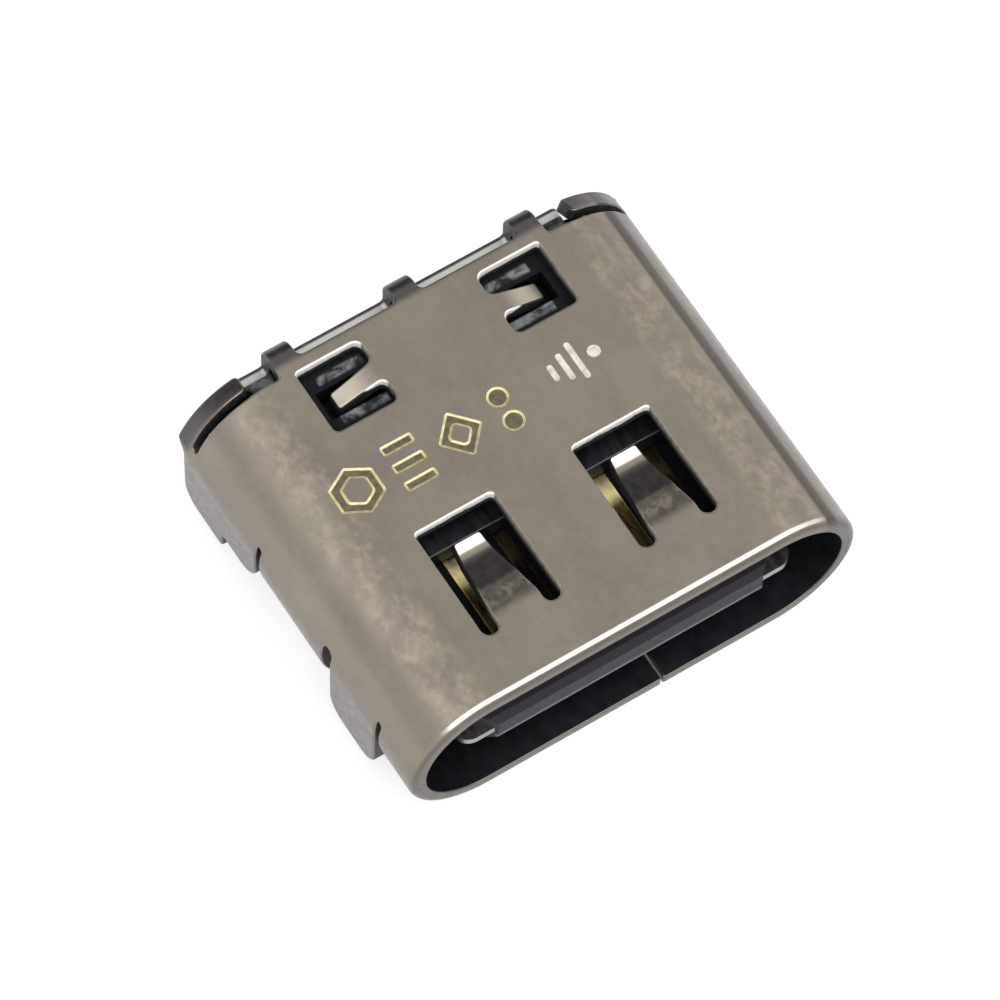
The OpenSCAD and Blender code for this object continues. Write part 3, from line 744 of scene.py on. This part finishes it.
def shell_steel():
    """Plated sheet with painted highlights and painted shade on its springs, tabs, edges and sides, over a
    clouded grain.
    """
    n = Surface("shell_steel")
    n.measure()
    n.fine = n.noise(n.scaled(1, 0.8, 1), 8, 2, 0.5)
    n.upper = n.spread(n.z, 0, 1, 1.8, 2.2)
    colour = clouds(n)
    for layer in (shoulder_sheen_and_grain, right_shoulder_shade_line, shaded_sides, tab_highlights, spring_shade_and_highlights, mouth_highlight_and_shade,
                  right_side_shade, rear_shade):
        colour = layer(n, colour)
    swell = n.noise(n.scaled(2.4, 1.7, 2.4), 1.0, 1, 0.5)
    waves = n.bump(swell, 0.02, 0.3)
    return n.complete(colour, n.spread(n.fine, 0.26, 0.36), 1, n.bump(n.fine, 0.003, 0.07, waves))


def shaded_inner_steel():
    """The sheet's inner face, painted near black as the shade inside the shell."""
    n = Surface("shaded_inner_steel")
    fine = n.noise(n.scaled(1, 0.6, 1), 5, 4)
    dark = n.ramp(fine, [(0.3, (0.022, 0.024, 0.028)), (0.7, (0.034, 0.037, 0.043))])
    return n.complete(dark, n.spread(fine, 0.5, 0.56), 1)


def cut_steel():
    """Bare sheared steel round the windows and in the ticks.

    It is painted bright where it faces the mouth as a painted highlight, dim where it faces elsewhere, and
    near black below a wavy line down the cut.
    """
    n = Surface("cut_steel")
    n.measure()
    facing = n.add("ShaderNodeSeparateXYZ")
    n.link(n.coords.outputs["Normal"], facing.inputs[0])
    tear = n.noise(n.scaled(1, 1, 0.4), 9, 3, 0.6, 0.3)
    bright = n.ramp(tear, [(0.3, (0.82, 0.81, 0.78)), (0.7, (0.95, 0.94, 0.91))])
    dim = n.ramp(tear, [(0.3, (0.16, 0.145, 0.12)), (0.7, (0.28, 0.255, 0.215))])
    ticks = n.ramp(tear, [(0.35, (0.48, 0.46, 0.41)), (0.6, (0.70, 0.68, 0.63))])
    # painted highlight on cut faces that face the mouth, dim on the others
    bare_and_lit = n.mix(n.spread(facing.outputs["Y"], 1, 0, -0.45, -0.1), dim, bright)
    bare_and_lit = n.mix(n.band(n.y, (MARK_Y - 0.5, MARK_Y + 0.7), 0.05), bare_and_lit, ticks)
    wobble = n.noise(n.scaled(2.6, 1.4, 0.4), 1.0, 2, 0.5)
    level = n.math("ADD", n.z, n.product(wobble, 0.16))
    sheared = n.spread(level, 0, 1, SHELL_H - 0.09, SHELL_H - 0.03)
    colour = n.mix(sheared, (0.02, 0.02, 0.022), bare_and_lit)
    return n.complete(colour, n.spread(tear, 0.5, 0.7), 0.2, n.bump(tear, 0.01, 0.4))


def dark_cut():
    """Sheared edges away from the top windows, near black, and pale along the top of the rear cover: bare
    cut steel with a painted highlight.
    """
    n = Surface("dark_cut")
    n.measure()
    tear = n.noise(n.scaled(1, 1, 0.4), 9, 4, 0.65, 0.3)
    near_black_edge = n.ramp(tear, [(0.3, (0.03, 0.03, 0.031)), (0.7, (0.10, 0.097, 0.09))])
    # painted highlight along the top of the rear cover
    top = n.product(n.band(n.y, (COVER_MID - 0.04, COVER_MID + 0.05), 0.04),
                    n.band(n.z, (COVER_TOP_Z - 0.05, COVER_TOP_Z + 0.05), 0.05))
    colour = n.mix(top, near_black_edge, (0.62, 0.61, 0.57))
    return n.complete(colour, n.spread(tear, 0.4, 0.6), 0.6, n.bump(tear, 0.01, 0.5))


def mark_gilt():
    """Gilt on the walls of the stamped figures."""
    n = Surface("mark_gilt")
    fine = n.noise(n.scaled(1, 1, 1), 12, 3)
    gilt = n.ramp(fine, [(0.3, (0.50, 0.42, 0.20)), (0.7, (0.78, 0.70, 0.42))])
    return n.complete(gilt, n.spread(fine, 0.35, 0.5), 0.7)


def mark_dull():
    """Tarnished gilt on the floors of the stamped figures."""
    n = Surface("mark_dull")
    fine = n.noise(n.scaled(1, 1, 1), 9, 4)
    dull = n.ramp(fine, [(0.3, (0.13, 0.115, 0.07)), (0.7, (0.22, 0.195, 0.13))])
    return n.complete(dull, n.spread(fine, 0.35, 0.5), 1)


def housing_plastic():
    """Black moulding with pale patches on its flat top, and a painted highlight along the nose of the
    tongue.
    """
    n = Surface("housing_black")
    n.measure()
    fine = n.noise(n.scaled(1, 1, 1), 14, 3)
    patch = n.noise(n.scaled(3.5, 4, 2), 1.0, 3, 0.6, 0.3)
    windows = n.math("ADD", n.band(n.y, (5.93, 6.03), 0.07), n.band(n.y, (6.78, 6.88), 0.07))
    under_windows = n.product(windows, n.band(n.wide, (1.25, 2.1), 0.05))
    behind_straps = n.product(n.band(n.wide, (2.75, 3.15), 0.05), n.spread(n.y, 0, 0.6, 7.03, 7.13))
    pale_patched = n.product(n.math("MAXIMUM", under_windows, behind_straps), n.spread(n.z, 0, 1, 2.8, 2.83),
                       n.spread(patch, 0.1, 0.8, 0.35, 0.6))
    black = n.ramp(fine, [(0.3, (0.005, 0.005, 0.006)), (0.7, (0.010, 0.010, 0.012))])
    patchy = n.mix(pale_patched, black, n.ramp(patch, [(0.4, (0.10, 0.105, 0.11)), (0.65, (0.25, 0.26, 0.27))]))
    tongue = n.mix(n.spread(n.y, 1, 0, 0.5, 0.9), patchy, (0.032, 0.029, 0.035))
    # painted highlight along the lower part of the tongue's front face
    nose_highlight = n.product(n.spread(n.y, 1, 0, 0.17, 0.2), n.spread(n.z, 1, 0, 1.38, 1.46))
    n.shader.inputs["Specular IOR Level"].default_value = 0.1
    return n.complete(n.mix(nose_highlight, tongue, (0.17, 0.17, 0.19)), n.spread(fine, 0.36, 0.48), 0,
                      n.bump(fine, 0.006, 0.3))


def contact_gold():
    """Gold strips, painted dark brown along the middle as shade, with painted highlights on their edges and
    at their rear end, and painted shadow where the springs lie over them.
    """
    n = Surface("contact_gold")
    n.measure()
    fine = n.noise(n.scaled(1, 0.3, 1), 7, 3)
    # a strip's middle lies half a pitch off x = 0, and the whole pitches keep the sum above zero
    moved = n.math("ADD", n.x, CONTACT_PITCH * 20.5)
    from_middle = n.math("PINGPONG", moved, CONTACT_PITCH / 2)
    # painted shade: the strips are kept dark brown along the middle
    body = n.ramp(fine, [(0.3, (0.20, 0.125, 0.045)), (0.7, (0.46, 0.31, 0.12))])
    lit_edges = n.mix(n.spread(from_middle, 0, 1, 0.085, 0.105), body, (0.85, 0.66, 0.32))
    # painted highlight at the strips' rear end
    bright = n.mix(n.spread(n.y, 0, 0.85, 2.5, 2.62), lit_edges, (0.98, 0.84, 0.42))
    # painted shadow of the springs on some strips
    spring_shadow = n.math("ADD", n.band(n.x, (-0.9, -0.6), 0.1), n.spread(n.x, 0, 1, 2.0, 2.1))
    spring_shadow = n.product(spring_shadow, n.spread(n.y, 1, 0, 3.2, 3.6), 0.85)
    colour = n.mix(spring_shadow, bright, (0.045, 0.026, 0.018))
    return n.complete(colour, n.spread(fine, 0.24, 0.36), 1)


def root_steel():
    """The ground plates: painted dark as the shade inside the shell, with a painted highlight line along
    the upper one's front edge.
    """
    n = Surface("root_steel")
    n.measure()
    fine = n.noise(n.scaled(1, 0.3, 1), 10, 3)
    low, high = node_mm("upper_ground_plate")
    # painted highlight line along the upper plate's front edge
    edge = n.product(n.spread(n.y, 1, 0, low.y + 0.005, low.y + 0.02),
                     n.spread(n.z, 0, 1, high.z - 0.05, high.z - 0.03))
    dark = n.ramp(fine, [(0.3, (0.02, 0.02, 0.025)), (0.7, (0.04, 0.04, 0.05))])
    return n.complete(n.mix(edge, dark, (0.30, 0.33, 0.34)), n.spread(fine, 0.35, 0.5), 0.8)


def plastic(name, dark, light, rough):
    n = Surface(name)
    fine = n.noise(n.scaled(1, 1, 1), 14, 3)
    colour = n.ramp(fine, [(0.3, dark), (0.7, light)])
    return n.complete(colour, n.spread(fine, rough, rough + 0.12), 0, n.bump(fine, 0.006, 0.4))


def metal(name, dark, light, rough):
    n = Surface(name)
    fine = n.noise(n.scaled(1, 0.3, 1), 10, 3)
    return n.complete(n.ramp(fine, [(0.3, dark), (0.7, light)]), n.spread(fine, rough, rough + 0.1), 1)


# ---- studio ----
def camera():
    """Looks at the middle of the shell from the front left and above, rolled a little.

    The distance and the aims are in millimetres.
    """
    azimuth, elevation, roll = math.radians(-34.134), math.radians(63.021), math.radians(2.118)
    distance, aim_right, aim_up = 126.448, 0.432, -0.085
    back = Vector((math.sin(azimuth) * math.cos(elevation), -math.cos(azimuth) * math.cos(elevation),
                   math.sin(elevation)))
    right = Vector((0, 0, 1)).cross(back).normalized()
    up = back.cross(right)
    right, up = (right * math.cos(roll) + up * math.sin(roll), up * math.cos(roll) - right * math.sin(roll))
    target = Vector((0, -0.53, 1.6))
    data = bpy.data.cameras.new("camera")
    data.lens = data.sensor_width * 7.40432     # a long lens, so the part shows little perspective
    data.clip_start = 0.01
    data.clip_end = 10
    made = bpy.data.objects.new("camera", data)
    turn = Matrix((right, up, back)).transposed().to_4x4()
    place = (target + back * distance - right * aim_right - up * aim_up) * MM
    made.matrix_world = Matrix.Translation(place) @ turn
    bpy.context.scene.collection.objects.link(made)
    bpy.context.scene.camera = made


def floor():
    """A pale ground that shows as white and keeps the part's shadow. Its half width is in metres."""
    data = bpy.data.meshes.new("floor")
    half = 0.4
    corners = [(-half, -half, 0), (half, -half, 0), (half, half, 0), (-half, half, 0)]
    data.from_pydata(corners, [], [(0, 1, 2, 3)])
    made = bpy.data.objects.new("floor", data)
    made.location.z = -0.01 * MM                # clear of the shell's underside, which lies at z = 0
    bpy.context.scene.collection.objects.link(made)
    n = Surface("floor")
    n.shader.inputs["Base Color"].default_value = (0.38, 0.38, 0.38, 1)
    n.shader.inputs["Roughness"].default_value = 0.9
    path = n.add("ShaderNodeLightPath").outputs
    seen = n.math("MAXIMUM", path["Is Camera Ray"], path["Is Glossy Ray"])
    seen = n.math("MAXIMUM", seen, path["Is Transmission Ray"])
    n.shader.inputs["Emission Color"].default_value = (1, 1, 1, 1)
    n.link(n.product(seen, 0.68), n.shader.inputs["Emission Strength"])
    data.materials.append(n.material)


def world():
    """A plain studio: a bright panel above the front, a fainter one on the left, a dim wall behind.

    x, y and z give the direction out from the part.
    """
    made = bpy.data.worlds.new("world")
    bpy.context.scene.world = made
    made.use_nodes = True
    n = Nodes(made.node_tree)
    split = n.add("ShaderNodeSeparateXYZ")
    n.link(n.add("ShaderNodeTexCoord").outputs["Generated"], split.inputs[0])
    x, y, z = split.outputs
    rear = n.product(n.spread(y, 0, 1, 0.45, 0.7), n.spread(z, 0, 1, 0.08, 0.2), 0.72)
    left = n.product(n.spread(x, 1, 0, -0.5, -0.2), n.spread(z, 0, 1, 0.3, 0.5), 0.3)
    panel = n.product(n.band(y, (-0.78, -0.05), 0.12), n.band(x, (-0.55, 0.6), 0.15),
                      n.spread(z, 0, 1, 0.4, 0.55), 1.3)
    level = n.math("ADD", n.math("ADD", n.math("SUBTRACT", 0.95, rear), left), panel)
    background = made.node_tree.nodes["Background"]
    background.inputs["Color"].default_value = (1, 1, 1, 1)
    n.link(level, background.inputs["Strength"])


def folded_shell():
    """The folded sheet, which takes the place of the frame's shell. Materials come in the kinds' order."""
    materials = [shell_steel(), mark_gilt(), mark_dull(), cut_steel(), shaded_inner_steel(), dark_cut()]
    shell = to_object("shell_sheet", *shell_mesh(), materials)
    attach(shell, "root")
    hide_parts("shell")


def dress_nodes():
    """Gives the other nodes the materials of their slots. The ground plates have one of their own."""
    by_slot = {
        "housing_plastic": housing_plastic(),
        "carrier_plastic": plastic("carrier_grey", (0.014, 0.014, 0.016), (0.024, 0.024, 0.027), 0.42),
        "plate_steel": metal("plate_steel", (0.30, 0.30, 0.29), (0.42, 0.42, 0.41), 0.3),
        "contact_gold": contact_gold()}
    for part in frame["record"]["subparts"]:
        if part["material_slot"] in by_slot:
            data = frame["nodes"][part["node"]].data
            data.materials.clear()
            data.materials.append(by_slot[part["material_slot"]])
    dark_root = root_steel()
    for name in ("upper_ground_plate", "lower_ground_plate"):
        frame["nodes"][name].data.materials[0] = dark_root


bpy.context.scene.view_settings.view_transform = "Standard"
camera()
floor()
world()
folded_shell()
dress_nodes()
